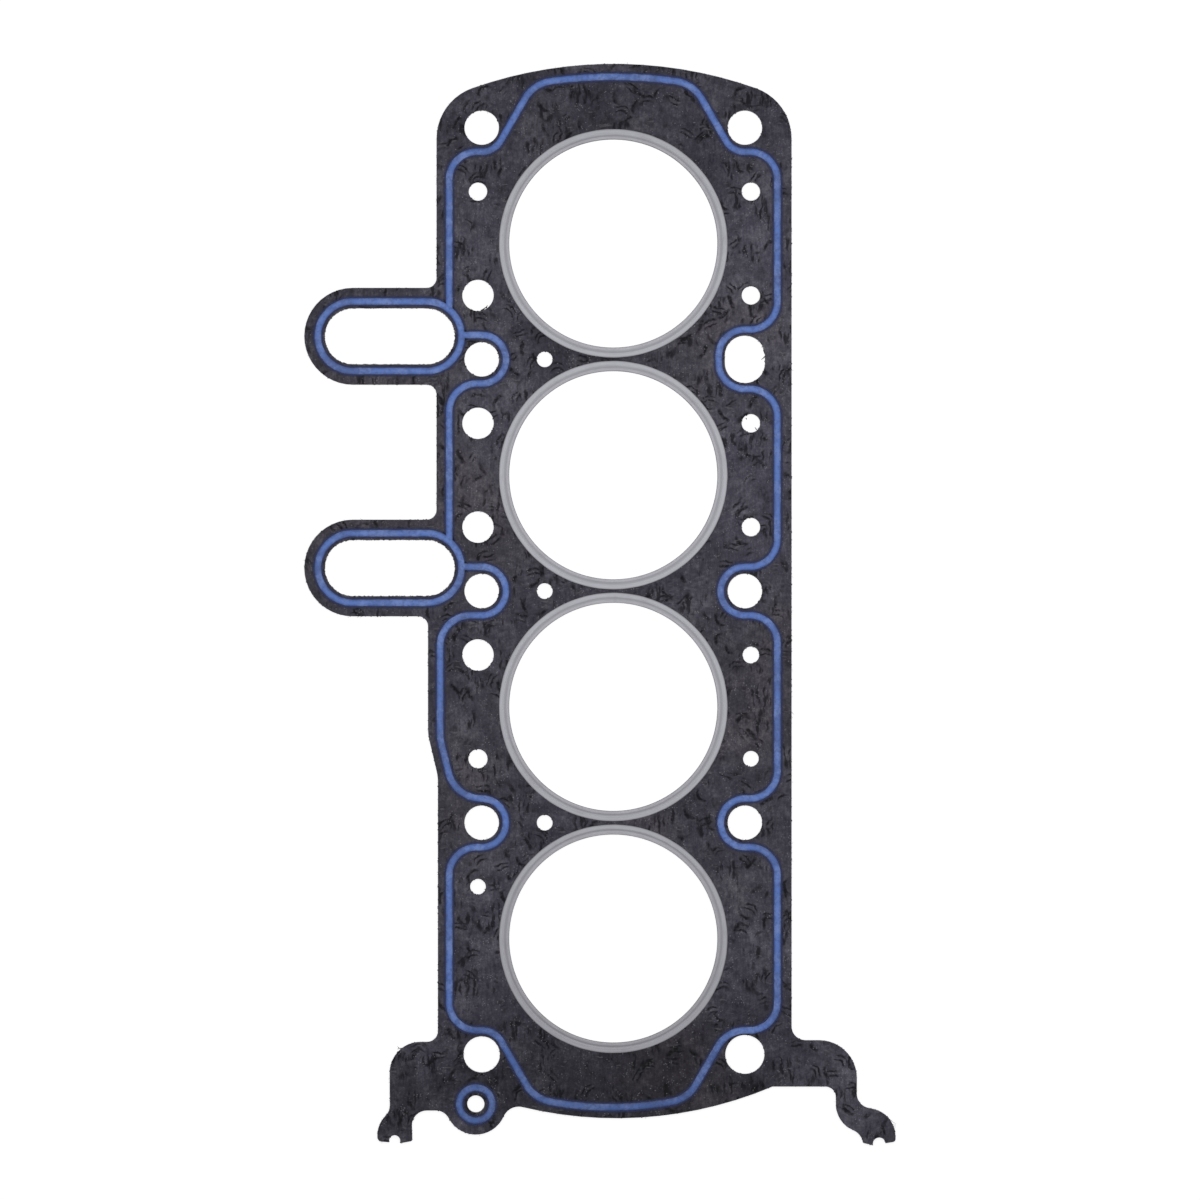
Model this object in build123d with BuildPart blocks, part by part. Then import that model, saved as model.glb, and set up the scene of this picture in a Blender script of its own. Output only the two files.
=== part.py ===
from build123d import *
from math import atan2, cos, degrees, radians, sin, sqrt
import os

# Cylinder head gasket for an in-line engine, lying flat: one punched sheet of fibre facing,
# a folded steel ring round each bore, and a printed elastomer bead on the front face.
# Origin: centre of the head-bolt pattern, at mid thickness. +Y runs along the row of cylinders,
# -X points to the side with the slots, and +Z out of the front face.

# Thicknesses
sheet_thickness = 1.40
ring_steel = 0.15
bead_height = 0.13

# Cylinders and their fire rings
bore_count = 4
bore_pitch = 75.0
ring_bore = 67.4
ring_flange = 3.3
ring_fold_inside = 0.05
ring_groove_inset = 1.35
ring_groove_width = 0.9
ring_groove_depth = 0.07
ring_clearance = 0.05

# Head bolts, in two columns, with a row between cylinders and one beyond each end
bolt_spread = 85.2
bolt_hole = 11.2
left_locating_hole = 11.8
right_locating_hole = 12.7
feed_hole_width = 13.0
feed_hole_length = 15.4

# Coolant holes, a pair to each bore in each column, listed from the top down
coolant_stagger = 16.8
coolant_left = 43.8
coolant_right = 44.55
coolant_left_holes = (6.0, 10.2, 10.2, 10.2, 10.2, 6.2, 5.1)
coolant_right_holes = (6.0, 6.0, 6.0, 6.0, 5.4, 5.1)
jet_inset = 22.2
jet_hole = 5.1

# Slots, placed by the gap from the left column to their near end, and the ears that carry them
slot_length = 42.2
slot_width = 18.2
slot_from_column = 8.65
slot_lead = 7.45
ear_land = 6.55
ear_root = 3.2

# Edges of the deck, measured outward from the columns and end rows of bolts
left_land = 14.6
bulge_land = 17.35
tail_land = 14.15
right_land = 15.1
end_land = 20.6
shoulder_drop = 3.6
shoulder_radius = 17.3
bulge_lift = 28.5
bulge_taper = 13.5
bulge_blend = 15.0
bottom_offset = 1.0
bottom_radius = 129.6

# Boss round the oil hole, placed from the left end bolt
oil_across = 1.9
oil_beyond = 16.0
oil_hole = 5.6
boss_radius = 9.9
boss_hollow = 5.3
boss_arch = 4.5

# Feet, as corners (x, y, radius) from the end bolt on their side, with the height and radius of
# the corner where each foot leaves the deck, and the notch at its tip
left_foot = (
    (-22.75, -18.1, 4.9),
    (-22.45, -27.95, 0.6),
    (-26.15, -28.65, 0),
    (-33.75, -28.05, 1.5),
    (-33.77, -22.85, 8.5),
    (-29.7, -18.25, 5.0),
    (-29.85, 4.05, 9.9),
)
left_neck = (4.0, 3.6)
left_notch = (-28.15, -27.9, 1.8)
right_foot = (
    (36.35, 4.55, 12.1),
    (36.15, -17.5, 4.9),
    (48.7, -17.5, 9.0),
    (48.75, -28.15, 1.0),
    (41.4, -29.35, 0),
    (38.25, -28.6, 0.7),
    (37.45, -25.55, 5.5),
    (29.6, -22.0, 8.7),
    (29.4, -10.35, 3.5),
)
right_neck = (4.55, 4.6)
right_notch = (43.45, -28.9, 2.05)

# Printed bead, by its centre line
bead_width = 2.2
bead_gap = 1.15
bead_run = 10.5
bead_swing = 9.0
bead_slant = 60.0
bead_corner = 11.5
bead_top_margin = 4.2
bead_bottom_margin = 3.55
bead_top_rise = 1.3
bead_bottom_rise = 1.6
bead_top_turns = (7.1, 7.1)
bead_bottom_turns = (9.9, 7.4)
feed_bead_side = 8.5
feed_bead_half = 9.6
bulge_bead_run = 13.45
bulge_bead_swing = 10.0
bulge_bead_turn = 14.0
bulge_bead_entry = 11.0
slot_bead_gap = 1.05
oil_bead_gap = 1.5
oil_bead_width = 2.1

# Worked out from the sizes above
half_sheet = sheet_thickness / 2
bolt_x = bolt_spread / 2
end_row = bore_count / 2 * bore_pitch
bolt_rows = [end_row - bore_pitch * row for row in range(bore_count + 1)]
bore_rows = [end_row - bore_pitch * (row + 0.5) for row in range(bore_count)]
coolant_rows = [row + side * coolant_stagger for row in bore_rows for side in (1, -1)]
ring_outer = ring_bore / 2 + ring_flange
ring_fold = ring_steel + ring_fold_inside
sheet_bore = ring_bore / 2 + ring_steel + ring_clearance
slot_rows = [row + slot_lead for row in bolt_rows[1:3]]
slot_reach = bolt_x + slot_from_column + slot_length / 2
slot_half_gap = (slot_length - slot_width) / 2
ear_half = slot_width / 2 + ear_land
oil_spot = Vector(-bolt_x - oil_across, -end_row - oil_beyond)
deck_left = -bolt_x - left_land
deck_right = bolt_x + right_land
deck_bulge = -bolt_x - bulge_land
deck_tail = -bolt_x - tail_land


def crown(reach, rise, corner):
    """Slope where a corner arc meets the long arc across an end, and that arc's radius.

    reach is the distance from the corner arc's centre to the middle of the end, across it,
    and rise is how much higher the middle is than the top of the corner arc.
    """
    slope = 2 * atan2(rise, reach)
    return degrees(slope), reach / sin(slope) + corner


def trail(start, heading, moves):
    """A line from start, by straight runs (length,) and tangent turns (radius, degrees)."""
    spot = Vector(*start)
    for move in moves:
        way = Vector(1, 0).rotate(Axis.Z, heading)
        if len(move) == 1:
            piece = Line(spot, spot + way * move[0])
        else:
            piece = JernArc(start=spot, tangent=way, radius=move[0], arc_size=move[1])
            heading += move[1]
        spot = piece @ 1


def rounded(*corners):
    """Straight runs through (x, y, radius) corners, with the first and last left sharp."""
    points = [(x, y) for x, y, radius in corners]
    FilletPolyline(*points, radius=[radius for x, y, radius in corners[1:-1]])


def from_bolt(side, corners):
    """Corners given from the end bolt on one side, in the deck's own x and y."""
    return [(side * bolt_x + x, -end_row + y, radius) for x, y, radius in corners]


# Deck outline, with its ears and the boss, clockwise from the left shoulder
shoulder_row = end_row - shoulder_drop
top_slope, top_radius = crown(
    (deck_right - deck_left) / 2 - shoulder_radius,
    end_land + shoulder_drop - shoulder_radius,
    shoulder_radius,
)
bulge_top = bolt_rows[3] + bulge_lift
bottom_apex = -end_row - end_land
foot_under = -end_row + right_foot[-1][1]
bottom_rise = foot_under - bottom_apex
bottom_reach = sqrt(2 * bottom_radius * bottom_rise - bottom_rise**2)
boss_entry = oil_spot.X + boss_radius / 2
boss_rise = bottom_radius - sqrt(bottom_radius**2 - (boss_entry - bottom_offset) ** 2)
arch_top = -end_row + left_foot[0][1]

with BuildSketch() as deck:
    with BuildLine():
        trail(
            (deck_left, shoulder_row),
            90,
            [
                (shoulder_radius, top_slope - 90),
                (top_radius, -2 * top_slope),
                (shoulder_radius, top_slope - 90),
            ],
        )
        rounded(
            (deck_right, shoulder_row, 0),
            (deck_right, -end_row + right_neck[0], right_neck[1]),
            *from_bolt(1, right_foot),
            (bottom_offset + bottom_reach, foot_under, 0),
        )
        ThreePointArc(
            (bottom_offset + bottom_reach, foot_under),
            (bottom_offset, bottom_apex),
            (boss_entry, bottom_apex + boss_rise),
        )
        rounded(
            (boss_entry, bottom_apex + boss_rise, 0),
            (oil_spot.X, arch_top, 0),
            *from_bolt(-1, left_foot),
            (deck_tail, -end_row + left_neck[0], left_neck[1]),
            (deck_tail, bulge_top - bulge_taper, bulge_blend),
            (deck_bulge, bulge_top, bulge_blend),
            (deck_bulge, slot_rows[1], 0),
            (deck_left, slot_rows[1], 0),
            (deck_left, shoulder_row, 0),
        )
    make_face()
    for row in slot_rows:
        with Locations((-slot_reach - slot_half_gap, row)):
            Circle(ear_half)
            ear_length = slot_reach + slot_half_gap - bolt_x
            Rectangle(ear_length, 2 * ear_half, align=(Align.MIN, Align.CENTER))
    ear_roots = [
        corner
        for corner in deck.vertices()
        if any(abs(abs(corner.Y - row) - ear_half) < 0.01 for row in slot_rows)
        and corner.X > -slot_reach
    ]
    fillet(ear_roots, ear_root)
    with Locations(oil_spot):
        Circle(boss_radius)
    for side, radius in ((-1, boss_arch), (1, boss_hollow)):
        corners = deck.vertices().sort_by_distance(oil_spot + Vector(side * boss_radius, 0))
        fillet(corners[0], radius)

# Everything punched out of the deck
column_holes = [(-coolant_left, row, size) for row, size in zip(coolant_rows, coolant_left_holes)]
column_holes += [(coolant_right, row, size) for row, size in zip(coolant_rows, coolant_right_holes)]
column_holes += [(-jet_inset, row, jet_hole) for row in bolt_rows[1:-1]]
bolt_holes = [(side * bolt_x, row) for side in (-1, 1) for row in bolt_rows[:-1]]
bolt_holes.remove((bolt_x, bolt_rows[1]))

with BuildSketch() as punched:
    add(deck.sketch)
    with Locations(*[(0, row) for row in bore_rows]):
        Circle(sheet_bore, mode=Mode.SUBTRACT)
    with Locations(*[(-slot_reach, row) for row in slot_rows]):
        SlotOverall(slot_length, slot_width, mode=Mode.SUBTRACT)
    with Locations(*bolt_holes):
        Circle(bolt_hole / 2, mode=Mode.SUBTRACT)
    with Locations((bolt_x, bolt_rows[1])):
        SlotOverall(feed_hole_length, feed_hole_width, rotation=90, mode=Mode.SUBTRACT)
    with Locations((-bolt_x, -end_row)):
        Circle(left_locating_hole / 2, mode=Mode.SUBTRACT)
    with Locations((bolt_x, -end_row)):
        Circle(right_locating_hole / 2, mode=Mode.SUBTRACT)
    with Locations(oil_spot):
        Circle(oil_hole / 2, mode=Mode.SUBTRACT)
    for x, y, size in column_holes:
        with Locations((x, y)):
            Circle(size / 2, mode=Mode.SUBTRACT)
    for x, y, radius in from_bolt(-1, [left_notch]) + from_bolt(1, [right_notch]):
        with Locations((x, y)):
            Circle(radius, mode=Mode.SUBTRACT)

with BuildPart() as gasket_sheet:
    with BuildSketch(Plane.XY.offset(-half_sheet)):
        add(punched.sketch)
    extrude(amount=sheet_thickness)

# Fire rings: steel folded over both faces at the bore, with a groove pressed in the front flange
ring_top = half_sheet + ring_steel
ring_inner = ring_bore / 2
groove = ring_inner + ring_groove_inset
with BuildPart() as fire_ring:
    with BuildSketch(Plane.XZ):
        with BuildLine():
            Polyline(
                (ring_inner, ring_top - ring_fold),
                (ring_inner + ring_fold, ring_top),
                (groove - ring_groove_width / 2, ring_top),
                (groove, ring_top - ring_groove_depth),
                (groove + ring_groove_width / 2, ring_top),
                (ring_outer, ring_top),
                (ring_outer, half_sheet),
                (ring_inner + ring_steel, half_sheet),
                (ring_inner + ring_steel, -half_sheet),
                (ring_outer, -half_sheet),
                (ring_outer, -ring_top),
                (ring_inner + ring_fold, -ring_top),
                (ring_inner, ring_fold - ring_top),
                close=True,
            )
        make_face()
    revolve(axis=Axis.Z)

with BuildPart() as fire_rings:
    with Locations(*[(0, row) for row in bore_rows]):
        add(fire_ring.part)

# Bead route: round the inner side of each bolt hole, and joined to the loops round the slots
loop = (bolt_hole + bead_width) / 2 + bead_gap
step = bead_run - bead_swing
reach = loop + bead_swing
feed_reach = feed_bead_half + bead_swing
bend_in = [(bead_swing, -90), (step,)]
bend_out = [(step,), (bead_swing, -90)]
past_bolt = [*bend_in, (loop, 180), *bend_out]
past_feed_hole = [
    *bend_in,
    (feed_bead_side, 90),
    (2 * (feed_bead_half - feed_bead_side),),
    (feed_bead_side, 90),
    *bend_out,
]
between_bolts = bore_pitch - 2 * reach
beside_feed_hole = bore_pitch - reach - feed_reach

slot_loop = (slot_width + bead_width) / 2 + slot_bead_gap
slot_loop_end = -slot_reach + slot_half_gap
run_x = -bolt_x - bead_run
merge = sqrt(slot_loop**2 - (run_x - slot_loop_end) ** 2)
link = -bolt_x - slot_loop_end - sqrt(slot_loop**2 - (loop - slot_lead) ** 2)


def across_end(margin, rise, turns):
    """The bead from one end bolt to the other, round an end of the deck.

    turns holds the radii of the turns beside the first bolt and the last one.
    """
    lean = radians(bead_slant)
    climb = end_land - margin - rise + loop
    slants = [(climb - (turn + bead_corner) * (1 - cos(lean))) / sin(lean) for turn in turns]
    arch_span = bolt_spread - sum(slants) * cos(lean)
    arch_span -= (sum(turns) + 2 * bead_corner) * sin(lean)
    slope, radius = crown(arch_span / 2, rise, bead_corner)
    corner = (bead_corner, slope - bead_slant)
    arch = [(slants[0],), corner, (radius, -2 * slope), corner, (slants[1],)]
    return [(turns[0], bead_slant), *arch, (turns[1], bead_slant)]


# Along the bulge on the left, the bead moves out from its usual run and comes back to it
bulge_turn = radians(bulge_bead_turn)
bulge_slope = bulge_bead_run - bulge_bead_entry * cos(bulge_turn)
bulge_slope -= bulge_blend * (1 - cos(bulge_turn))
bulge_slope /= sin(bulge_turn)
bulge_climb = bulge_bead_entry * (1 - sin(bulge_turn)) + bulge_slope * cos(bulge_turn)
bulge_climb += bulge_blend * sin(bulge_turn)
beside_bulge = [
    (bulge_bead_entry, bulge_bead_turn - 90),
    (bulge_slope,),
    (bulge_blend, -bulge_bead_turn),
    (bore_pitch - 2 * loop - bulge_climb - bulge_bead_swing,),
    (bulge_bead_swing, -90),
    (bulge_bead_run - bulge_bead_swing,),
]

upper_merge = slot_rows[0] + merge
lower_merge = slot_rows[1] + merge
outer_route = [
    (end_row - reach - upper_merge,),
    *bend_in,
    *across_end(bead_top_margin, bead_top_rise, bead_top_turns),
    *bend_out,
    (beside_feed_hole,),
    *past_feed_hole,
    (beside_feed_hole,),
    *past_bolt,
    (between_bolts,),
    *past_bolt,
    (between_bolts,),
    *bend_in,
    *across_end(bead_bottom_margin, bead_bottom_rise, bead_bottom_turns),
    *bend_out,
    (between_bolts,),
    *bend_in,
    (loop, 180),
    *beside_bulge,
    (loop, 180),
    (link,),
]
inner_route = [(bolt_rows[1] - reach - lower_merge,), *bend_in, (loop, 180), (link,)]

with BuildSketch(Plane.XY.offset(half_sheet)) as seal_print:
    for start_row, route in ((upper_merge, outer_route), (lower_merge, inner_route)):
        with BuildLine():
            trail((run_x, start_row), 90, route)
            offset(amount=bead_width / 2, side=Side.BOTH, mode=Mode.REPLACE)
        make_face()
    with Locations(*[(-slot_reach, row) for row in slot_rows]):
        SlotCenterToCenter(2 * slot_half_gap, 2 * slot_loop + bead_width)
        SlotCenterToCenter(2 * slot_half_gap, 2 * slot_loop - bead_width, mode=Mode.SUBTRACT)

with BuildPart() as seal_bead:
    add(seal_print.sketch)
    extrude(amount=bead_height)

with BuildPart() as oil_bead:
    with BuildSketch(Plane.XY.offset(half_sheet)):
        with Locations(oil_spot):
            Circle(oil_hole / 2 + oil_bead_gap + oil_bead_width)
            Circle(oil_hole / 2 + oil_bead_gap, mode=Mode.SUBTRACT)
    extrude(amount=bead_height)

pieces = {
    "gasket_sheet": gasket_sheet,
    "fire_rings": fire_rings,
    "seal_bead": seal_bead,
    "oil_bead": oil_bead,
}
os.makedirs("parts", exist_ok=True)
for label, piece in pieces.items():
    piece.part.label = label
    export_step(piece.part, f"parts/{label}.step")
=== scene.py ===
import bpy
import math
import numpy as np
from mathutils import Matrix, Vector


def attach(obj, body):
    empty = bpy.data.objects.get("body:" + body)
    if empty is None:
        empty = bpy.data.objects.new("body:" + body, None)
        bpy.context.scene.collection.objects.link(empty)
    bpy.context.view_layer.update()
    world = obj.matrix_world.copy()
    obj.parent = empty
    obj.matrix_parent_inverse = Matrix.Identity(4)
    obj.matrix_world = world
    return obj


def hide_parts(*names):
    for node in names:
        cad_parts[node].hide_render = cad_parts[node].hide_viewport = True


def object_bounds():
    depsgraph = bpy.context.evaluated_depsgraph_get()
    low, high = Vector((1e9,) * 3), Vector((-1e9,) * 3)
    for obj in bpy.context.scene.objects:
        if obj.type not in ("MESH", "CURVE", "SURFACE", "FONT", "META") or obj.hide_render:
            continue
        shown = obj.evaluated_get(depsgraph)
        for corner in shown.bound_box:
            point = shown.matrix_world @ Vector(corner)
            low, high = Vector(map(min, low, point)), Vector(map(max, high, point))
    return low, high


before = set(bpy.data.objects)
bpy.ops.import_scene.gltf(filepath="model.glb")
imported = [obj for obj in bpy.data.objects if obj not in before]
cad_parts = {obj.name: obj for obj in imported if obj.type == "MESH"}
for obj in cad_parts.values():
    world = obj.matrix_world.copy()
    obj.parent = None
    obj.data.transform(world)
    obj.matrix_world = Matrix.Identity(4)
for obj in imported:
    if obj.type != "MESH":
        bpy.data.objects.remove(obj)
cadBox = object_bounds()
mm = 0.001
boreRows = (112.5, 37.5, -37.5, -112.5)  # middles of the four bores along the sheet, in mm
print("frame loaded", sorted(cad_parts))


# arrays into meshes

def grid(points, closedAlong, uAlong, vAcross):
    # points[i, j] is ring i of a tube, at place j round its closed section; an open tube gets flat caps
    # u runs along the tube and v round it, each with one value more than there are points that way,
    # which closes the loop
    rings, places = points.shape[:2]
    spans = rings if closedAlong else rings - 1
    i = np.arange(spans)[:, None]
    j = np.arange(places)[None, :]
    far = (i + 1) % rings * places
    beside = (j + 1) % places
    corners = [i * places + j, far + j, far + beside, i * places + beside]
    quads = np.stack(corners, -1).reshape(-1, 4)
    us = [uAlong[i + step] for step in (0, 1, 1, 0)]
    vs = [vAcross[j + step] for step in (0, 0, 1, 1)]
    uv = np.stack([np.stack(np.broadcast_arrays(u, v), -1) for u, v in zip(us, vs)], 2)
    uv = uv.reshape(-1, 4, 2)
    vertices = points.reshape(-1, 3)
    first = np.arange(places)
    caps = [] if closedAlong else [first[::-1], (rings - 1) * places + first]
    # each face's normal against the way to it from the middle of its section, summed over the tube:
    # below zero the faces point inwards and everything is turned round
    middle = vertices[quads].mean(1)
    one, two = (vertices[quads[:, k + 2]] - vertices[quads[:, k]] for k in (0, 1))
    outward = (np.cross(one, two) * (middle - np.repeat(points.mean(1)[:spans], places, 0))).sum()
    if outward < 0:
        quads = quads[:, ::-1]
        uv = uv[:, ::-1]
        caps = [cap[::-1] for cap in caps]
    return vertices, quads, caps, uv.reshape(-1, 2)


def meshOf(name, grids):
    # one mesh out of one or several grids, millimetres in and metres out; all caps share one map spot
    vertices, faces, maps, ends, count = [], [], [], [], 0
    for points, quads, caps, uv in grids:
        vertices.append(points)
        faces += (quads + count).tolist()
        ends += [(cap + count).tolist() for cap in caps]
        maps.append(uv)
        count += len(points)
    mesh = bpy.data.meshes.new(name)
    mesh.from_pydata((np.vstack(vertices) * mm).tolist(), [], faces + ends)
    mesh.shade_smooth()
    uv = np.vstack(maps)
    capSpot = 0.001
    uv = np.vstack([uv, np.full((len(mesh.loops) - len(uv), 2), capSpot)])
    mesh.uv_layers.new(name="surfaceUv").data.foreach_set("uv", uv.astype(np.float32).ravel())
    return mesh


def placed(name, data):
    # a new object in the scene, at the origin, for a mesh, a lamp or a camera
    made = bpy.data.objects.new(name, data)
    bpy.context.scene.collection.objects.link(made)
    return made


def waves(distance, length, size, step, seed):
    # a smooth random line: a sum of sines with whole cycles over the length, so that loops close
    random = np.random.default_rng(seed)
    shares = (1.0, 0.55, 0.3)
    total = np.zeros_like(distance)
    for share in shares:
        cycles = max(1, round(length / (step * share)))
        phase = random.uniform(0, 2 * np.pi)
        total += share * np.sin(2 * np.pi * cycles * distance / length + phase)
    return size * total / sum(shares)


# shader nodes

class Socket:
    # an output of a node, or a bare tree to start from; arithmetic on it adds Math nodes
    def __init__(self, tree, out=None):
        self.tree = tree
        self.out = out

    def node(self, kind, settings=None, sockets=None, output=0):
        # a node by its type: its settings come first, a ramp's stops among them, and then its sockets
        made = self.tree.nodes.new(kind)
        for key, value in (settings or {}).items():
            if key == "stops":
                ramp = made.color_ramp
                while len(ramp.elements) < len(value):
                    ramp.elements.new(0.5)
                for element, (place, colour) in zip(ramp.elements, value):
                    element.position = place
                    element.color = (*colour, 1)
            else:
                setattr(made, key, value)
        for key, value in (sockets or {}).items():
            if isinstance(value, Socket):
                self.tree.links.new(value.out, made.inputs[key])
            else:
                made.inputs[key].default_value = value
        return Socket(self.tree, made.outputs[output] if len(made.outputs) else None)

    def other(self, output):
        # another output of the same node
        return Socket(self.tree, self.out.node.outputs[output])

    def part(self, axis):
        # one coordinate of a vector: 0 is x, 1 is y and 2 is z
        return self.node("ShaderNodeSeparateXYZ", None, {"Vector": self}, axis)

    def math(self, operation, *values, clamp=False):
        settings = {"operation": operation, "use_clamp": clamp}
        return self.node("ShaderNodeMath", settings, dict(enumerate(values)))

    def vector(self, operation, *values, output="Vector"):
        settings = {"operation": operation}
        return self.node("ShaderNodeVectorMath", settings, dict(enumerate(values)), output)

    def __add__(self, other):
        return self.math("ADD", self, other)

    def __radd__(self, other):
        return self.math("ADD", other, self)

    def __sub__(self, other):
        return self.math("SUBTRACT", self, other)

    def __rsub__(self, other):
        return self.math("SUBTRACT", other, self)

    def __mul__(self, other):
        return self.math("MULTIPLY", self, other)

    def __rmul__(self, other):
        return self.math("MULTIPLY", other, self)

    def __abs__(self):
        return self.math("ABSOLUTE", self)

    def above(self, low, high):
        # 0 below low, 1 above high, smooth between
        settings = {"interpolation_type": "SMOOTHSTEP"}
        sockets = {"Value": self, "From Min": low, "From Max": high}
        return self.node("ShaderNodeMapRange", settings, sockets)

    def mixed(self, share, colourA, colourB, blend="MIX"):
        # on a colour Mix node, inputs 0, 6 and 7 are the share and the colours, and output 2 the result
        settings = {"data_type": "RGBA", "blend_type": blend}
        return self.node("ShaderNodeMix", settings, {0: share, 6: colourA, 7: colourB}, 2)

    def moved(self, vector, scale, turn=0.0, shift=(0, 0, 0)):
        sockets = {"Vector": vector, "Location": shift, "Rotation": (0, 0, turn), "Scale": scale}
        return self.node("ShaderNodeMapping", None, sockets)

    def noise(self, vector, scale, detail, roughness):
        sockets = {"Vector": vector, "Scale": scale, "Detail": detail, "Roughness": roughness}
        return self.node("ShaderNodeTexNoise", None, sockets)

    def stretched(self, vector, stretch, turn, scale, detail, roughness):
        # noise squeezed differently along each axis, so that it draws out into streaks
        return self.noise(self.moved(vector, stretch, turn), scale, detail, roughness)

    def mask(self, vector, scale, detail, roughness, low, high):
        # noise cut into soft islands
        return self.noise(vector, scale, detail, roughness).above(low, high)


def newMaterial(name):
    made = bpy.data.materials.new(name)
    made.use_nodes = True
    made.node_tree.nodes.clear()
    return made, Socket(made.node_tree)


def finished(start, sockets, height, depth, strength):
    # the surface shader and its bump: fixed numbers sit on its own sockets
    settings = {"Height": height, "Distance": depth, "Strength": strength}
    sockets["Normal"] = start.node("ShaderNodeBump", None, settings)
    shader = start.node("ShaderNodeBsdfPrincipled", None, sockets)
    start.node("ShaderNodeOutputMaterial", None, {"Surface": shader})


def withToneAndPaintedFalloff(start, place, mottle, colour, toneAndPaintedFalloff):
    # broad soft areas a little paler or darker, partly the facing's own uneven tone and partly painted
    # light: darker towards the top and bottom and paler in the middle, as the lamp's light falls off;
    # distance from each middle, counted in half widths, with an uneven rim
    rimWander, rimFrom, rimTo = 1.2, 0.5, 1.3
    for x, y, halfX, halfY, share in toneAndPaintedFalloff:
        shift = (-x / halfX, -y / halfY, 0)
        spot = start.moved(place, (1 / halfX, 1 / halfY, 0), 0.0, shift)
        reach = start.vector("LENGTH", spot, output="Value")
        inside = 1 - (reach + (mottle - 0.5) * rimWander).above(rimFrom, rimTo)
        colour = start.mixed(inside, colour, (1 + share, 1 + share, 1 + share, 1), "MULTIPLY")
    return colour


# the punched facing: matt graphite fibre with faint dark rub marks, pale specks and short fibres

facingLook = {
    "dark": (0.007, 0.006, 0.010, 1),
    "plain": (0.046, 0.044, 0.060, 1),
    "pale": (0.128, 0.123, 0.150, 1),
    "rub": (0.004, 0.004, 0.005, 1),
    "smoky": (1.04, 0.98, 0.88, 1),
    "fibre": (0.30, 0.30, 0.32, 1),
    "cutEdge": (0.016, 0.015, 0.017, 1),
    "cutFibre": (0.075, 0.072, 0.078, 1),
    "core": (0.36, 0.36, 0.37, 1),
    "roughness": 0.72,
    "gloss": 0.09,
    "grainDepth": 0.00006,
    "grainStrength": 0.6,
    "rubStrength": 0.92,
    "hatchStrength": 0.85,
    "smudgeStrength": 0.6,
    "fibreStrength": 0.16,
    "speckStrength": 0.42,
    "smokeStrength": 0.65,
    # noises: scale, detail and roughness
    "mottle": (55, 7, 0.86),
    "grain": (900, 4, 0.75),
    # noises drawn out: stretch, turn, scale, detail and roughness
    "streaks": ((1500, 230, 1000), 0.06, 1.0, 3, 0.65),
    "hatch": ((850, 150, 1), 0.4, 1.0, 2, 0.5),
    "layers": ((180, 180, 5200), 0.0, 1.0, 4, 0.7),
    # islands of noise: scale, detail, roughness, and the noise where they start and where they are full
    "crowd": (82, 1, 0.5, 0.44, 0.54),
    "hatchArea": (115, 2, 0.5, 0.53, 0.62),
    "smudge": (210, 4, 0.7, 0.53, 0.66),
    "wear": (800, 3, 0.7, 0.30, 0.62),
    "fibreArea": (210, 2, 0.5, 0.60, 0.68),
    "speckArea": (260, 3, 0.6, 0.50, 0.60),
    "smoke": (13, 2, 0.5, 0.42, 0.62),
    # where other masks start and where they are full
    "hatchLine": (0.47, 0.6),
    "smudgeGrain": (0.38, 0.6),
    "fibreLine": (0.06, 0.2),
    "speckDot": (0.12, 0.30),
    "plainTone": (0.30, 0.50),
    "paleTone": (0.46, 0.68),
    "upright": (0.3, 0.7),
    "coreHalf": (0.00010, 0.00015),
    "layerTone": (0.35, 0.75),
    # what the tone takes of mottle, grain and streaks, and a stroke's ink where worn and more elsewhere
    "toneShares": (0.54, 0.30, 0.16),
    "inkShares": (0.45, 0.6),
    # scale of the noise that shakes them, how far it bends strokes and fibres and scatters specks, in m
    "shakeScale": 520,
    "strokeShake": 0.0018,
    "speckShake": 0.0007,
    "speckScale": 1300,
    # strokes: turn, spacing in mm, half length, half gap between twin lines and half width in m
    "strokes": ((0.5, 6.6, 0.0023, 0.0, 0.00075), (1.9, 7.2, 0.0021, 0.00075, 0.00042)),
    "strokeScatter": 0.6,
    "strokeSpin": 2.2,
    # how widely the bow varies and how far it goes the other way, the blur of a line's sides in half
    # widths, the blur of its ends in m, and the random values from which a cell holds one
    "strokeBow": (300, 50),
    "strokeSides": (0.3, 1.2),
    "strokeEnds": (0.0006, 0.0008),
    "strokeChance": (0.15, 0.3),
    # short fibres: how they are drawn out, and the turn and scale of each set
    "fibreStretch": (0.3, 2.8, 0),
    "fibreSets": ((1.2, 200), (1.75, 260)),
    # broad patches, partly uneven tone and partly painted light that falls off towards the top and
    # bottom: middle x and y, half width and half height in m, and how much paler or darker
    "toneAndPaintedFalloff": [
        (0.000, -0.158, 0.056, 0.018, -0.42),
        (0.047, 0.070, 0.020, 0.070, 0.32),
        (-0.046, 0.075, 0.018, 0.050, 0.26),
        (-0.044, -0.098, 0.014, 0.024, 0.20),
        (0.046, -0.100, 0.014, 0.026, 0.14),
        (-0.066, -0.166, 0.014, 0.014, -0.26),
        (0.080, -0.166, 0.014, 0.016, 0.50),
        (-0.012, 0.075, 0.016, 0.016, -0.20),
        (0.000, 0.158, 0.060, 0.016, -0.08),
    ],
}


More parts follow.
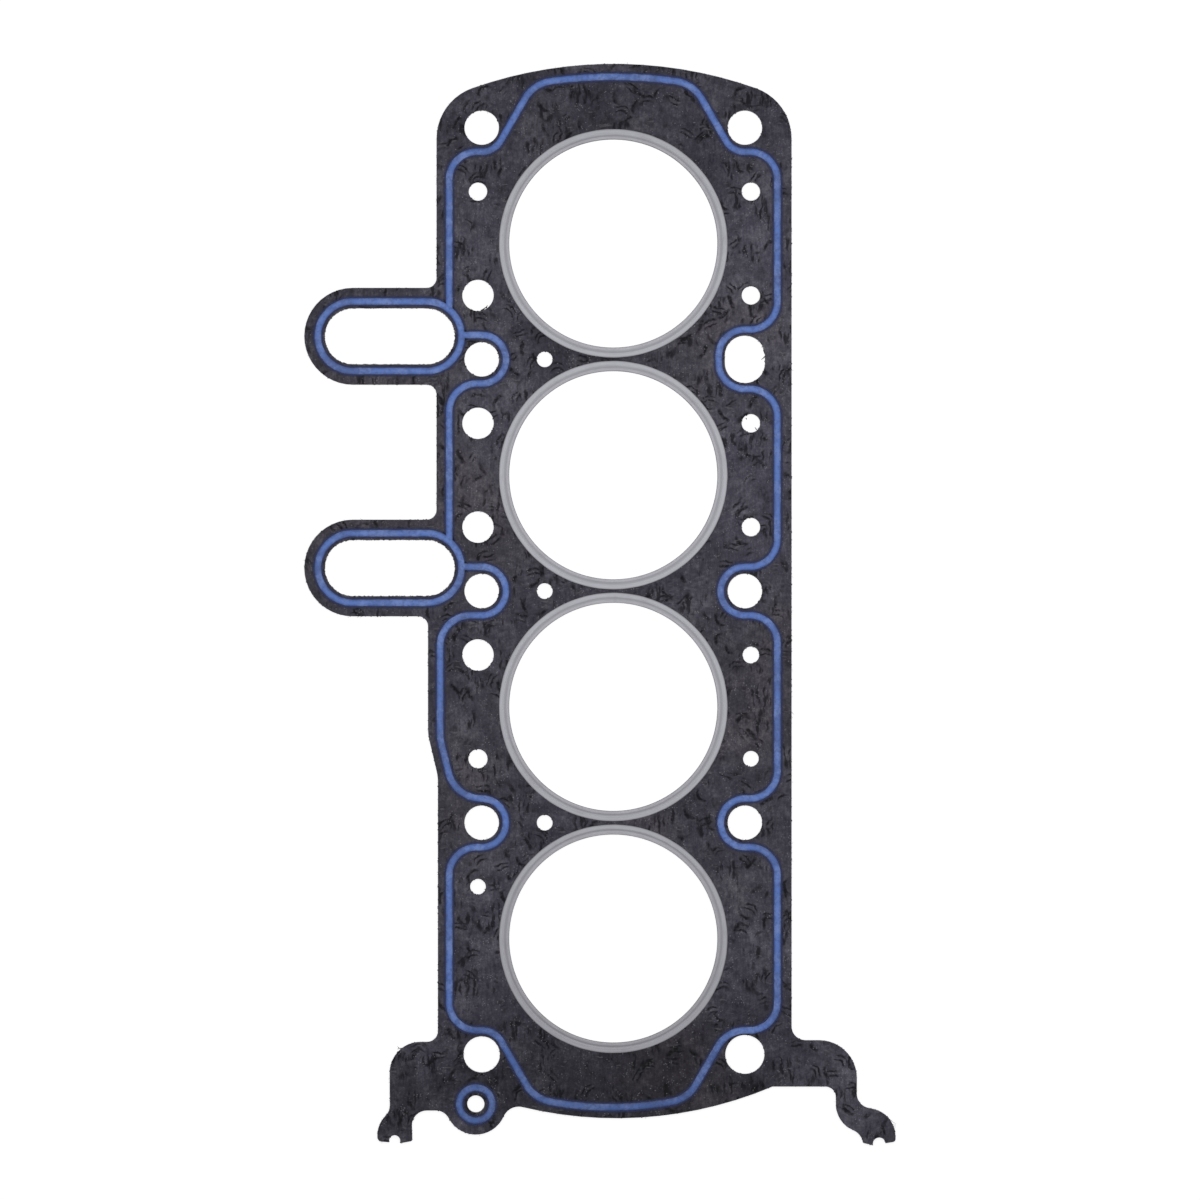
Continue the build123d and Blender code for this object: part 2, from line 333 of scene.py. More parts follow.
def rubMarks(start, shaken, look):
    # dark curved strokes, one to a Voronoi cell, each bent and turned its own way: the distance from a
    # parabola across the cell's middle, or from twin lines beside it, cut to a length
    total = None
    bowSpread, bowBack = look["strokeBow"]
    sideIn, sideOut = look["strokeSides"]
    endIn, endOut = look["strokeEnds"]
    for turn, spacing, half, gap, width in look["strokes"]:
        tilted = start.moved(shaken, (1, 1, 0), turn)
        sockets = {"Vector": tilted, "Scale": 1000 / spacing, "Randomness": look["strokeScatter"]}
        cells = start.node("ShaderNodeTexVoronoi", {"voronoi_dimensions": "2D"}, sockets)
        away = start.vector("SUBTRACT", tilted, cells.other("Position"))
        chance = start.node("ShaderNodeSeparateColor", None, {"Color": cells.other("Color")})
        spin, bow = chance.other("Green"), chance.other("Blue")
        sockets = {"Vector": away, "Angle": spin * look["strokeSpin"]}
        turned = start.node("ShaderNodeVectorRotate", {"rotation_type": "Z_AXIS"}, sockets)
        x = turned.part(0)
        y = x.other("Y")
        across = abs(y - x * x * (bow * bowSpread - bowBack))
        inLine = 1 - abs(across - gap).above(sideIn * width, sideOut * width)
        inLength = 1 - abs(x).above(half - endIn, half + endOut)
        stroke = inLine * inLength * chance.above(*look["strokeChance"])
        total = stroke if total is None else start.math("MAXIMUM", total, stroke)
    return total


def shortFibres(start, place, shaken, look):
    # pale lines in two directions: Voronoi cells drawn out long and thin, bright in their middles
    total = None
    for turn, scale in look["fibreSets"]:
        sockets = {"Vector": start.moved(shaken, look["fibreStretch"], turn), "Scale": scale}
        cells = start.node("ShaderNodeTexVoronoi", {"voronoi_dimensions": "2D"}, sockets)
        line = (1 - cells.above(*look["fibreLine"])) * start.mask(place, *look["fibreArea"])
        total = line if total is None else start.math("MAXIMUM", total, line)
    return total


def facingMaterial(look):
    made, start = newMaterial("facingFibre")
    place = start.node("ShaderNodeTexCoord", output="Object")
    mottle = start.noise(place, *look["mottle"])
    grain = start.noise(place, *look["grain"])
    streaks = start.stretched(place, *look["streaks"])

    sockets = {"Vector": place, "Scale": look["shakeScale"], "Detail": 3.0}
    wobble = start.node("ShaderNodeTexNoise", None, sockets, "Color")
    centred = start.vector("SUBTRACT", wobble, (0.5, 0.5, 0.5))
    shaken = start.vector("MULTIPLY_ADD", centred, (look["strokeShake"],) * 3, place)
    scattered = start.vector("MULTIPLY_ADD", centred, (look["speckShake"],) * 3, place)

    # rubbed-off ink: strokes worn thin in places, hatched patches and smudges
    marks = rubMarks(start, shaken, look) * start.mask(place, *look["crowd"])
    worn = start.mask(place, *look["wear"])
    hatch = start.stretched(shaken, *look["hatch"]).above(*look["hatchLine"])
    hatched = start.mask(place, *look["hatchArea"]) * hatch * look["hatchStrength"]
    smudge = start.mask(place, *look["smudge"]) * grain.above(*look["smudgeGrain"])
    softer = start.math("MAXIMUM", hatched, smudge * look["smudgeStrength"])
    wornInk, moreInk = look["inkShares"]
    marks = start.math("MAXIMUM", marks * (wornInk + worn * moreInk), softer, clamp=True)

    fibres = shortFibres(start, place, shaken, look)
    sockets = {"Vector": scattered, "Scale": look["speckScale"]}
    dots = start.node("ShaderNodeTexVoronoi", None, sockets)
    specks = (1 - dots.above(*look["speckDot"])) * start.mask(place, *look["speckArea"])
    light = start.math("MAXIMUM", fibres * look["fibreStrength"], specks * look["speckStrength"])

    ofMottle, ofGrain, ofStreaks = look["toneShares"]
    tone = mottle * ofMottle + grain * ofGrain + streaks * ofStreaks
    colour = start.mixed(tone.above(*look["plainTone"]), look["dark"], look["plain"])
    colour = start.mixed(tone.above(*look["paleTone"]), colour, look["pale"])
    smoke = start.mask(place, *look["smoke"]) * look["smokeStrength"]
    colour = start.mixed(smoke, colour, look["smoky"], "MULTIPLY")
    # painted light and uneven tone: the facing darker towards the top and bottom, paler in the middle
    colour = withToneAndPaintedFalloff(start, place, mottle, colour, look["toneAndPaintedFalloff"])
    colour = start.mixed(marks * look["rubStrength"], colour, look["rub"])
    colour = start.mixed(light, colour, look["fibre"])

    # punched walls: layers of fibre squeezed flat, with the steel core as a bright line in the middle
    normal = start.node("ShaderNodeNewGeometry", output="Normal")
    wall = 1 - abs(normal.part(2)).above(*look["upright"])
    layers = start.stretched(place, *look["layers"])
    core = wall * (1 - abs(place.part(2)).above(*look["coreHalf"]))
    cut = start.mixed(layers.above(*look["layerTone"]), look["cutEdge"], look["cutFibre"])
    colour = start.mixed(wall, colour, cut)
    colour = start.mixed(core, colour, look["core"])

    height = 0.7 * grain + 0.5 * mottle + 0.3 * streaks + 0.4 * fibres + wall * layers - marks * 0.3
    sockets = {
        "Base Color": colour,
        "Roughness": look["roughness"] + (grain - 0.5) * 0.3 - core * 0.34,
        "Metallic": core,
        "Specular IOR Level": look["gloss"],
    }
    finished(start, sockets, height, look["grainDepth"], look["grainStrength"])
    return made


facing = facingMaterial(facingLook)
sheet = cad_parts["gasket_sheet"]
sheet.data.materials.clear()
sheet.data.materials.append(facing)
print("facing done")


# punch fuzz: nibs and torn fibres along the cut edges, a fringe in the slots and a few longer burrs

fuzzLook = {
    "seed": 7,
    # one every so many mm of cut edge, with ranges of length and half width, and the spread of the
    # way it leans in radians
    "nibEvery": 2.2,
    "nibLength": (0.06, 0.26),
    "nibWidth": (0.10, 0.42),
    "nibLean": 0.35,
    "hairEvery": 11.0,
    "hairLength": (0.3, 1.1),
    "hairWidth": (0.022, 0.045),
    "hairLean": 0.6,
    "fringeEvery": 0.5,
    "fringeLength": (0.04, 0.24),
    "fringeWidth": (0.12, 0.45),
    "fringeLean": 0.35,
    # half depth of nibs and fringe, height above or below the middle, how far the short ones prevail,
    # and the most tilt and bow
    "nibDepth": (0.05, 0.13),
    "nibHeight": (0.24, 0.54),
    "shortBias": 1.6,
    "tilt": 0.25,
    "bow": 0.3,
    # no fuzz inside this distance from a bore's middle, where the rings cover the edge
    "boreClear": 35.0,
    # the box round each slot that the fringe keeps to
    "slotRows": (82.45, 7.45),
    "slotAt": -72.35,
    "slotHalf": (21.3, 9.3),
    "burrDepth": 0.22,
    "burrFlatness": 0.7,
    "burrRise": 0.02,
    "dark": (0.006, 0.006, 0.007, 1),
    "pale": (0.060, 0.060, 0.058, 1),
    "strands": ((2600, 2600, 900), 0.0, 1.0, 3, 0.6),
    "strandTone": (0.35, 0.7),
    "roughness": 0.78,
    "gloss": 0.16,
    "bumpDepth": 0.00003,
    "bumpStrength": 0.5,
    # burrs: place x and y, height, direction in degrees, length, half width, bow
    "burrs": [
        (-67.7, -148.0, 0.2, 176, 2.2, 0.16, 0.12),
        (-69.4, -147.9, 0.2, 128, 0.8, 0.10, 0.10),
        (-69.3, -148.0, 0.1, 222, 0.7, 0.09, -0.10),
        (89.7, -171.2, 0.3, -42, 2.3, 0.07, 0.15),
        (91.2, -172.6, 0.2, -88, 1.9, 0.05, -0.12),
        (77.8, -171.1, 0.1, 222, 1.7, 0.06, 0.10),
        (-42.6, 90.8, 0.5, 30, 2.5, 0.27, 0.16),
        (-41.1, 91.7, 0.4, 62, 1.0, 0.20, 0.10),
        (49.3, 76.1, 0.3, 226, 2.1, 0.22, -0.10),
        (49.2, 77.9, -0.1, 184, 0.65, 1.70, 0.00),
        (48.7, 79.2, 0.2, 196, 0.8, 0.30, 0.10),
        (48.1, 80.6, 0.1, 214, 0.6, 0.45, 0.00),
        (57.3, -38.6, 0.2, -55, 2.1, 0.10, 0.12),
        (57.5, -40.6, 0.1, -28, 0.9, 0.09, 0.00),
        (-99.6, 10.0, 0.1, 178, 1.2, 0.06, 0.05),
        (-59.4, -43.4, 0.2, 238, 2.1, 0.08, 0.10),
        (46.3, 52.3, 0.3, 118, 1.0, 0.18, 0.10),
        (43.0, 55.9, 0.3, -60, 0.5, 0.20, 0.00),
        (-68.5, -178.0, 0.0, 262, 0.9, 0.22, 0.05),
        (83.7, -178.6, 0.0, 274, 0.9, 0.20, -0.05),
    ],
}


def cutEdges(node):
    # every edge that an upright wall shares with the front face: its two ends and the way out, in mm
    mesh = node.data
    mesh.calc_loop_triangles()
    corner = np.empty(len(mesh.loop_triangles) * 3, np.int32)
    mesh.loop_triangles.foreach_get("vertices", corner)
    place = np.empty(len(mesh.vertices) * 3, np.float32)
    mesh.vertices.foreach_get("co", place)
    triangle = place.reshape(-1, 3)[corner].reshape(-1, 3, 3).astype(float) / mm
    normal = np.cross(triangle[:, 1] - triangle[:, 0], triangle[:, 2] - triangle[:, 0])
    normal /= np.maximum(np.linalg.norm(normal, axis=1), 1e-9)[:, None]
    starts = np.concatenate([triangle[:, k] for k in (0, 1, 2)])
    stops = np.concatenate([triangle[:, k] for k in (1, 2, 0)])
    out = np.tile(normal, (3, 1))
    front = triangle[:, :, 2].max() - 0.01
    upright = np.abs(out[:, 2]) < 0.3
    shared = upright & (starts[:, 2] > front) & (stops[:, 2] > front)
    return starts[shared, :2], stops[shared, :2], out[shared, :2]


def edgeLengths(edges):
    return np.linalg.norm(edges[1] - edges[0], axis=1)


def alongEdges(edges, places):
    # points at the given distances along all the edges laid end to end, and the way out there
    starts, stops, out = edges
    lengths = edgeLengths(edges)
    ends = np.cumsum(lengths)
    chosen = np.searchsorted(ends, places)
    share = 1 - (ends[chosen] - places) / np.maximum(lengths[chosen], 1e-9)
    return starts[chosen] + share[:, None] * (stops[chosen] - starts[chosen]), out[chosen]


def fibreGrid(root, way, length, bow, width, depth):
    # many tapered fibres at once, t from a little inside the wall to 1 at the tip:
    # middle = root + way*length*t + side*bow*length*t^2, and a section of side*width*cos +
    # up*depth*sin that shrinks as (1.03 - t)^0.7
    t = np.array([-0.12, 0.2, 0.6, 1.0])
    fall = np.clip(1.03 - t, 0, 1) ** 0.7
    turn = np.radians(np.arange(0, 360, 60))
    way = way / np.linalg.norm(way, axis=1)[:, None]
    side = np.stack([-way[:, 1], way[:, 0], np.zeros(len(way))], -1)
    side /= np.linalg.norm(side, axis=1)[:, None]
    up = np.cross(way, side)
    middle = root[:, None] + way[:, None] * (length[:, None] * t)[..., None]
    middle += side[:, None] * (bow * length)[:, None, None] * (t**2)[None, :, None]
    section = side[:, None] * (width[:, None] * np.cos(turn))[..., None]
    section += up[:, None] * (depth[:, None] * np.sin(turn))[..., None]
    points = middle[:, :, None] + section[:, None] * fall[None, :, None, None]
    count, rings, places = points.shape[:3]
    first = (np.arange(count) * rings * places)[:, None, None]
    i = first + np.arange(rings - 1)[None, :, None] * places
    j = np.arange(places)[None, None, :]
    beside = (j + 1) % places
    quads = np.stack([i + j, i + beside, i + places + beside, i + places + j], -1)
    lastRing = (rings - 1) * places + np.arange(places)
    ends = first[:, :, 0] + np.concatenate([np.arange(places)[::-1], lastRing])
    uv = np.zeros((quads.size, 2))
    return points.reshape(-1, 3), quads.reshape(-1, 4), ends.reshape(-1, places), uv


def fuzzGrids(look, edges):
    # each kind is scattered at random along the cut edges and kept where it is free to stand out
    random = np.random.default_rng(look["seed"])
    total = edgeLengths(edges).sum()
    grids = []
    for kind in ("nib", "hair", "fringe"):
        count = int(total / look[kind + "Every"])
        root, out = alongEdges(edges, random.uniform(0, total, count))
        if kind == "fringe":
            fromSlot = np.min([np.abs(root[:, 1] - row) for row in look["slotRows"]], axis=0)
            halfX, halfY = look["slotHalf"]
            free = (np.abs(root[:, 0] - look["slotAt"]) < halfX) & (fromSlot < halfY)
        else:
            away = [np.linalg.norm(root - (0, row), axis=1) for row in boreRows]
            free = np.min(away, axis=0) > look["boreClear"]
        root, out = root[free], out[free]
        count = len(root)
        lean = random.normal(0, look[kind + "Lean"], count)
        way = np.stack([
            out[:, 0] * np.cos(lean) - out[:, 1] * np.sin(lean),
            out[:, 0] * np.sin(lean) + out[:, 1] * np.cos(lean),
            random.uniform(-look["tilt"], look["tilt"], count),
        ], -1)
        height = random.uniform(*look["nibHeight"], count) * random.choice((-1, 1), count)
        shortest, longest = look[kind + "Length"]
        length = random.uniform(0, 1, count) ** look["shortBias"] * (longest - shortest) + shortest
        width = random.uniform(*look[kind + "Width"], count)
        depth = width if kind == "hair" else random.uniform(*look["nibDepth"], count)
        bow = random.uniform(-look["bow"], look["bow"], count)
        grids.append(fibreGrid(np.column_stack([root, height]), way, length, bow, width, depth))
    burrs = np.array(look["burrs"])
    angle = np.radians(burrs[:, 3])
    way = np.stack([np.cos(angle), np.sin(angle), np.full_like(angle, look["burrRise"])], -1)
    thick = np.minimum(burrs[:, 5] * look["burrFlatness"], look["burrDepth"])
    grids.append(fibreGrid(burrs[:, :3], way, burrs[:, 4], burrs[:, 6], burrs[:, 5], thick))
    return grids


def fuzzMaterial(look):
    made, start = newMaterial("tornFibre")
    place = start.node("ShaderNodeTexCoord", output="Object")
    strands = start.stretched(place, *look["strands"])
    sockets = {
        "Base Color": start.mixed(strands.above(*look["strandTone"]), look["dark"], look["pale"]),
        "Roughness": look["roughness"] + strands * 0.1,
        "Specular IOR Level": look["gloss"],
    }
    finished(start, sockets, strands, look["bumpDepth"], look["bumpStrength"])
    return made


edges = cutEdges(sheet)
fuzz = placed("punchFuzz", meshOf("punchFuzz", fuzzGrids(fuzzLook, edges)))
fuzz.data.materials.append(fuzzMaterial(fuzzLook))
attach(fuzz, "root")
print("punch fuzz done,", len(fuzz.data.polygons), "faces")


# fire rings: thin steel folded over both faces, with a pressed groove on the front flange

ringLook = {
    "bore": 33.7,
    "outer": 37.0,
    "top": 0.85,
    "underside": 0.7,
    "steel": 0.15,
    "sheetGap": 0.01,
    "fold": 0.26,
    "grooveRadius": 35.05,
    "grooveHalf": 0.6,
    "grooveDepth": 0.07,
    "rim": 0.05,
    "steps": 300,
    # points across the front and back lands, round each bend and each rim, and how far the lands'
    # points stay from the bend and from the rim
    "landPoints": (34, 9),
    "landInset": (0.05, 0.01),
    "bendPoints": 8,
    "rimPoints": 4,
    # the outer rim's unevenness: size in mm and step in radians, and where its band starts and how wide
    # it is
    "uneven": (0.03, 0.22),
    "unevenBand": (36.2, 0.85),
    # tones by distance from the bore, as a share of the span in mm, partly the steel's own tone and
    # partly
    # painted light and shade: dark bend, dull groove and dark rim as painted shade, pale inner land and
    # bright outer land as painted highlight; the groove's shade also falls on the flat back flange
    "shadeSpan": 4.0,
    "toneAndPaintedLightStops": [
        (0.01, (0.26, 0.26, 0.275)),
        (0.05, (0.42, 0.42, 0.452)),
        (0.09, (0.385, 0.385, 0.415)),
        (0.20, (0.390, 0.390, 0.422)),
        (0.26, (0.355, 0.355, 0.386)),
        (0.31, (0.316, 0.316, 0.345)),
        (0.36, (0.303, 0.303, 0.332)),
        (0.41, (0.345, 0.345, 0.377)),
        (0.50, (0.395, 0.395, 0.431)),
        (0.62, (0.412, 0.412, 0.450)),
        (0.725, (0.400, 0.400, 0.437)),
        (0.775, (0.285, 0.285, 0.310)),
        (0.82, (0.15, 0.15, 0.162)),
    ],
    "worn": (0.235, 0.235, 0.246, 1),
    "turned": ((14, 1.7, 1), 0.0, 2.0, 5, 0.65),
    "fine": ((120, 30, 1), 0.0, 2.4, 3, 0.6),
    "nicks": ((300, 2.2, 1), 0.0, 2.0, 2, 0.5),
    "turnedDull": (0.40, 0.70),
    "nickDull": (0.6, 0.78),
    "dullShares": (0.32, 0.2, 0.12),
    "roughness": 0.54,
    "stain": (130, 5, 0.7, 0.48, 0.72),
    "bumpDepth": 0.00002,
    "bumpStrength": 0.35,
}


def arc(centreX, centreY, radius, fromDegrees, toDegrees, count):
    # points of a circle's arc, both ends included
    angle = np.radians(np.linspace(fromDegrees, toDegrees, count))
    return np.stack([centreX + radius * np.cos(angle), centreY + radius * np.sin(angle)], -1)


def ringSection(look):
    # closed section of the folded strip, as radius and height: outside from the back rim round the
    # bore to the front rim, then back along the inside; the groove is one cosine wave across
    fold, rim, top = look["fold"], look["rim"], look["top"]
    bend = look["bore"] + fold
    rimAt = look["outer"] - rim
    fromBend, fromRim = look["landInset"]
    landFrom, landTo = bend + fromBend, rimAt - fromRim
    frontPoints, backPoints = look["landPoints"]
    radii = np.linspace(landFrom, landTo, frontPoints)
    dip = np.clip((radii - look["grooveRadius"]) / look["grooveHalf"], -1, 1)
    front = np.stack([radii, top - look["grooveDepth"] * (0.5 + 0.5 * np.cos(np.pi * dip))], -1)
    flat = np.linspace(landTo, landFrom, backPoints)
    back = np.stack([flat, np.full_like(flat, -top)], -1)
    backBend = arc(bend, fold - top, fold, 270, 180, look["bendPoints"])
    frontBend = arc(bend, top - fold, fold, 180, 90, look["bendPoints"])
    frontRim = arc(rimAt, top - rim, rim, 90, 0, look["rimPoints"])
    backRim = arc(rimAt, rim - top, rim, 360, 270, look["rimPoints"])
    inner = look["bore"] + look["steel"]
    under = look["underside"] + look["sheetGap"]
    inside = np.array([
        (look["outer"], under),
        (inner, under),
        (inner, -under),
        (look["outer"], -under),
    ])
    return np.vstack([back, backBend, frontBend, front, frontRim, inside, backRim])


def ringMesh(name, look, row, seed):
    # the section turned about the bore's axis, its rim a little uneven
    section = ringSection(look)
    angle = np.linspace(0, 2 * np.pi, look["steps"], endpoint=False)
    uneven = waves(angle, 2 * np.pi, *look["uneven"], seed)[:, None]
    bandFrom, bandWidth = look["unevenBand"]
    outward = np.clip((section[:, 0] - bandFrom) / bandWidth, 0, 1)[None, :]
    radius = section[None, :, 0] + uneven * outward
    x = radius * np.cos(angle)[:, None]
    y = row + radius * np.sin(angle)[:, None]
    z = np.broadcast_to(section[:, 1], x.shape)
    around = np.linspace(0, 1, look["steps"] + 1)
    inward = np.append(section[:, 0], section[0, 0]) - look["bore"]
    return meshOf(name, [grid(np.stack([x, y, z], -1), True, around, inward)])


def steelMaterial(look):
    made, start = newMaterial("ringSteel")
    uv = start.node("ShaderNodeUVMap", {"uv_map": "surfaceUv"})
    place = start.node("ShaderNodeTexCoord", output="Object")
    fromBore = uv.part(1) * (1 / look["shadeSpan"])
    # the ramp paints light and shade across the section along with the steel's tone: painted shade in
    # the bend, groove and rim, painted highlight on the lands
    steelToneAndPaintedLight = start.node("ShaderNodeValToRGB", {"stops": look["toneAndPaintedLightStops"]}, {"Fac": fromBore})
    turned = start.stretched(uv, *look["turned"])
    fine = start.stretched(uv, *look["fine"])
    nicks = start.stretched(uv, *look["nicks"])
    ofTurned, ofStain, ofNicks = look["dullShares"]
    dull = turned.above(*look["turnedDull"]) * ofTurned
    dull = dull + start.mask(place, *look["stain"]) * ofStain
    dull = dull + nicks.above(*look["nickDull"]) * ofNicks
    sockets = {
        "Base Color": start.mixed(dull, steelToneAndPaintedLight, look["worn"]),
        "Roughness": look["roughness"] + fine * 0.12,
        "Metallic": 1.0,
    }
    height = 0.6 * turned + 0.3 * fine + 0.3 * nicks
    finished(start, sockets, height, look["bumpDepth"], look["bumpStrength"])
    return made


steel = steelMaterial(ringLook)
for number, row in enumerate(boreRows, start=1):
    ring = placed(f"fireRing{number}", ringMesh(f"fireRing{number}", ringLook, row, number))
    ring.data.materials.append(steel)
    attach(ring, "root")
    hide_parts("fire_rings")
print("fire rings done")


# printed beads: a low blue crown of elastomer with a navy stain soaked in on each side

beadSizes = {
    "boltX": 42.6,
    "endRow": 150.0,
    "pitch": 75.0,
    "loop": 7.85,
    "run": 10.5,
    "swing": 9.0,
    "slant": 60.0,
    "corner": 11.5,
    "endLand": 20.6,
    "topMargin": 4.2,
    "bottomMargin": 3.55,
    "topRise": 1.3,
    "bottomRise": 1.6,
    "topTurns": (7.1, 7.1),
    "bottomTurns": (9.9, 7.4),
    "feedSide": 8.5,
    "feedHalf": 9.6,
    "bulgeRun": 13.45,
    "bulgeSwing": 10.0,
    "bulgeTurn": 14.0,
    "bulgeEntry": 11.0,
    "bulgeBlend": 15.0,
    "slotReach": 72.35,
    "slotHalfGap": 12.0,
    "slotLoop": 11.25,
    "slotLead": 7.45,
    "oilSpot": (-44.5, -166.0),
    "oilRadius": 5.35,
}
beadLook = {
    "halfWidth": 1.08,
    "oilHalfWidth": 1.05,
    "halo": 1.15,
    "height": 0.125,
    "most": 0.129,
    "face": 0.7,
    "spacing": 0.5,
    "mapScale": 0.1,
    # the section: points across the crown, the places of the stain's points, where 1 is the crown's foot
    # and 2 the stain's rim, the powers of the crown's curve, the stain's height, and how deep the foot
    # goes into the facing
    "crownPoints": 15,
    "skirt": (1.33, 1.67, 2.0),
    "powers": (2.6, 0.7),
    "stainHeight": 0.004,
    "foot": -0.02,
    # unevenness of the crown's edge, the stain's edge and the height: size and step along the line
    "ragged": (0.05, 5.0),
    "fringe": (0.14, 9.0),
    "swell": (0.06, 14.0),
    # how far the stain stays from a punched edge, how wide it is at least, and the spacing of points
    # taken along the edges
    "rimClear": 0.06,
    "leastStain": 0.01,
    "rimSpacing": 0.4,
    "blue": (0.054, 0.130, 0.415, 1),
    # crown is a painted highlight, paler along the bead's top; edge is a painted shade towards the
    # crown's foot, and also the colour of thinned print and pits
    "crown": (0.088, 0.174, 0.495, 1),
    "edge": (0.044, 0.064, 0.172, 1),
    "stain": (0.030, 0.039, 0.112, 1),
    "worn": (0.166, 0.252, 0.56, 1),
    "roughness": 0.46,
    "gloss": 0.35,
    "bumpDepth": 0.00002,
    "bumpStrength": 0.4,
    # noises: scale, detail and roughness, and for the last where it starts and is full
    "mottle": (170, 6, 0.75),
    "grain": (900, 3, 0.7),
    "thinned": (48, 3, 0.6, 0.46, 0.66),
    # where masks start and where they are full, the first four by distance from the middle, then how
    # far the mottle moves them, and how strong they are
    "paintedHighlightTone": (0.1, 0.75),
    "paintedSideShadeTone": (0.58, 1.0),
    "soakedFrom": (0.94, 1.06),
    "fade": (1.05, 1.95),
    "wornTone": (0.44, 0.64),
    "grainTone": (0.46, 0.66),
    "edgeWander": 0.6,
    "fadeWander": 0.5,
    "thinnedShare": 0.5,
    "wornShare": 0.7,
    "grainShare": 0.45,
    "stainShare": 0.8,
    # a darker patch over the bottom: painted shade where the light falls off, partly the print's own
    # tone
    "toneAndPaintedFalloff": [(-0.020, -0.166, 0.070, 0.030, -0.24)],
}


def walk(start, heading, moves, spacing):
    # centre line by straight runs (length,) and tangent turns (radius, degrees), as x, y and heading
    spot = np.array(start, float)
    aim = math.radians(heading)
    pieces = [np.array([[*spot, aim]])]
    for move in moves:
        if len(move) == 1:
            count = max(1, round(move[0] / (spacing * 2)))
            along = np.linspace(0, move[0], count + 1)[1:, None]
            line = spot + along * np.array([math.cos(aim), math.sin(aim)])
            pieces.append(np.hstack([line, np.full((count, 1), aim)]))
        else:
            radius, turn = move[0], math.radians(move[1])
            count = max(2, round(radius * abs(turn) / spacing))
            side = math.copysign(1, turn)
            centre = spot + side * radius * np.array([-math.sin(aim), math.cos(aim)])
            angles = aim + np.linspace(0, turn, count + 1)[1:]
            x = centre[0] + side * radius * np.sin(angles)
            y = centre[1] - side * radius * np.cos(angles)
            pieces.append(np.stack([x, y, angles], -1))
            aim += turn
        spot = pieces[-1][-1, :2]
    return np.vstack(pieces)


def crown(reach, rise, corner):
    # slope where a corner arc meets the long arc across an end, and that arc's radius
    slope = 2 * math.atan2(rise, reach)
    return math.degrees(slope), reach / math.sin(slope) + corner


def sealRoutes(s):
    # the two open lines of the bead, each from one slot loop to another: start, heading, moves
    lean = math.radians(s["slant"])

    def acrossEnd(margin, rise, turns):
        # up a slant, over the long arch across the sheet's end and down the other slant
        climb = s["endLand"] - margin - rise + s["loop"]
        slants = []
        for turn in turns:
            slants.append((climb - (turn + s["corner"]) * (1 - math.cos(lean))) / math.sin(lean))
        span = 2 * s["boltX"] - sum(slants) * math.cos(lean)
        span -= (sum(turns) + 2 * s["corner"]) * math.sin(lean)
        slope, radius = crown(span / 2, rise, s["corner"])
        corner = (s["corner"], slope - s["slant"])
        arch = [(slants[0],), corner, (radius, -2 * slope), corner, (slants[1],)]
        return [(turns[0], s["slant"]), *arch, (turns[1], s["slant"])]

    step = s["run"] - s["swing"]
    bendIn = [(s["swing"], -90), (step,)]
    bendOut = [(step,), (s["swing"], -90)]
    pastBolt = [*bendIn, (s["loop"], 180), *bendOut]
    side = s["feedSide"]
    pastFeed = [*bendIn, (side, 90), (2 * (s["feedHalf"] - side),), (side, 90), *bendOut]
    reach = s["loop"] + s["swing"]
    between = (s["pitch"] - 2 * reach,)
    besideFeed = (s["pitch"] - reach - s["feedHalf"] - s["swing"],)
    turn = math.radians(s["bulgeTurn"])
    slope = s["bulgeRun"] - s["bulgeEntry"] * math.cos(turn) - s["bulgeBlend"] * (1 - math.cos(turn))
    slope /= math.sin(turn)
    climb = s["bulgeEntry"] * (1 - math.sin(turn)) + slope * math.cos(turn)
    climb += s["bulgeBlend"] * math.sin(turn)
    besideBulge = [
        (s["bulgeEntry"], s["bulgeTurn"] - 90),
        (slope,),
        (s["bulgeBlend"], -s["bulgeTurn"]),
        (s["pitch"] - 2 * s["loop"] - climb - s["bulgeSwing"],),
        (s["bulgeSwing"], -90),
        (s["bulgeRun"] - s["bulgeSwing"],),
    ]
    runX = -s["boltX"] - s["run"]
    loopEnd = -s["slotReach"] + s["slotHalfGap"]
    merge = math.sqrt(s["slotLoop"] ** 2 - (runX - loopEnd) ** 2)
    link = -s["boltX"] - loopEnd - math.sqrt(s["slotLoop"] ** 2 - (s["loop"] - s["slotLead"]) ** 2)
    rows = [s["pitch"] + s["slotLead"], s["slotLead"]]
    outer = [
        (s["endRow"] - reach - rows[0] - merge,),
        *bendIn,
        *acrossEnd(s["topMargin"], s["topRise"], s["topTurns"]),
        *bendOut,
        besideFeed,
        *pastFeed,
        besideFeed,
        *pastBolt,
        between,
        *pastBolt,
        between,
        *bendIn,
        *acrossEnd(s["bottomMargin"], s["bottomRise"], s["bottomTurns"]),
        *bendOut,
        between,
        *bendIn,
        (s["loop"], 180),
        *besideBulge,
        (s["loop"], 180),
        (link,),
    ]
    inner = [(s["pitch"] - reach - rows[1] - merge,), *bendIn, (s["loop"], 180), (link,)]
    return [((runX, rows[0] + merge), 90, outer), ((runX, rows[1] + merge), 90, inner)]


def slotLoop(s, row):
    # closed line round one slot: two straight sides and two half turns
    straight = 2 * s["slotHalfGap"]
    start = (-s["slotReach"] - s["slotHalfGap"], row - s["slotLoop"])
    return start, 0, [(straight,), (s["slotLoop"], 180), (straight,), (s["slotLoop"], 180)]


